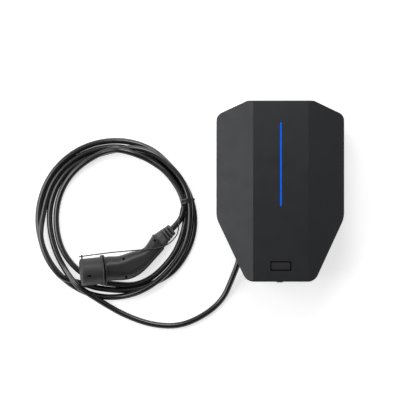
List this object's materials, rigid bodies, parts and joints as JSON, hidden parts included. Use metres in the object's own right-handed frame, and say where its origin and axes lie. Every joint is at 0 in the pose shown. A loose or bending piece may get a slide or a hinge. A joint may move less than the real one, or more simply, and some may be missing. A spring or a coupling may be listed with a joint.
{
  "type": "ev wallbox",
  "caption": "Wall charger for an electric car: faceted cover with a lit strip over a sealed tray, with a coiled charging lead, angled handle and capped connector.",
  "frame": {"origin": "centre of the cover's outline on the back plane of the tray, which lies against the wall", "axes": "+Z out of the cover's front away from the wall, +Y to the top of the box, +X to the right as seen from the front"},
  "size_m": [0.6699, 0.4941, 0.115],
  "materials": {
    "cover_plastic": "fine textured black",
    "tray_plastic": "moulded black",
    "light_strip": "translucent, lit blue",
    "badge": "smooth dark",
    "cable_jacket": "smooth black jacket",
    "connector_plastic": "moulded black",
    "soft_rubber": "soft matt black",
    "seal_rubber": "matt",
    "nylon": "smooth black nylon",
    "steel": "zinc plated",
    "black_steel": "blackened",
    "brass": "turned",
    "silvered": "silver plated",
    "grey_plastic": "moulded grey",
    "board": "green solder mask",
    "wire_jacket": "smooth"
  },
  "bodies": {
    "wallbox": {"front_cover": "cover_plastic", "light_guide": "light_strip", "led_board": "board", "led_chips": "grey_plastic", "led_ribbon": "wire_jacket", "badge_plate": "badge", "rear_housing": "tray_plastic", "lid_gasket": "seal_rubber", "inner_lid": "tray_plastic", "lid_screws": "steel", "cover_lock_screw": "nylon", "lock_insert": "brass", "lead_gland_body": "nylon", "lead_gland_seal": "seal_rubber", "lead_gland_nut": "nylon", "lead_gland_locknut": "nylon", "supply_gland_body": "nylon", "supply_gland_seal": "seal_rubber", "supply_gland_nut": "nylon", "supply_gland_locknut": "nylon", "supply_gland_plug": "seal_rubber", "mounting_rail": "steel", "rail_screws": "steel", "supply_terminals": "grey_plastic", "contactor": "grey_plastic", "fault_sensor": "nylon", "control_board": "board", "board_pillars": "brass", "board_screws": "steel", "board_transformer": "grey_plastic", "board_relays": "nylon", "lead_wires": "wire_jacket", "supply_wires": "wire_jacket", "pilot_wire": "wire_jacket", "lead_entry": "cable_jacket", "charging_lead": "cable_jacket", "lead_coil": "cable_jacket", "connector_lead": "cable_jacket", "lead_tail": "cable_jacket", "cable_tie": "nylon", "handle_shell_upper": "connector_plastic", "handle_shell_lower": "connector_plastic", "handle_screws": "black_steel", "lead_grip": "nylon", "lead_boot": "soft_rubber", "connector_nose": "connector_plastic", "contact_carrier": "grey_plastic", "contact_sleeves": "silvered", "nose_seal": "seal_rubber", "cap_tether": "soft_rubber"},
    "cap": {"protective_cap": "soft_rubber"}
  },
  "joints": [
    {"name": "cap_pull", "type": "slide", "parent": "wallbox", "child": "cap", "axis": [-0.9813, -0.0928, 0.1685], "range_m": [0, 0.045], "deforming": ["cap_tether"]}
  ]
}
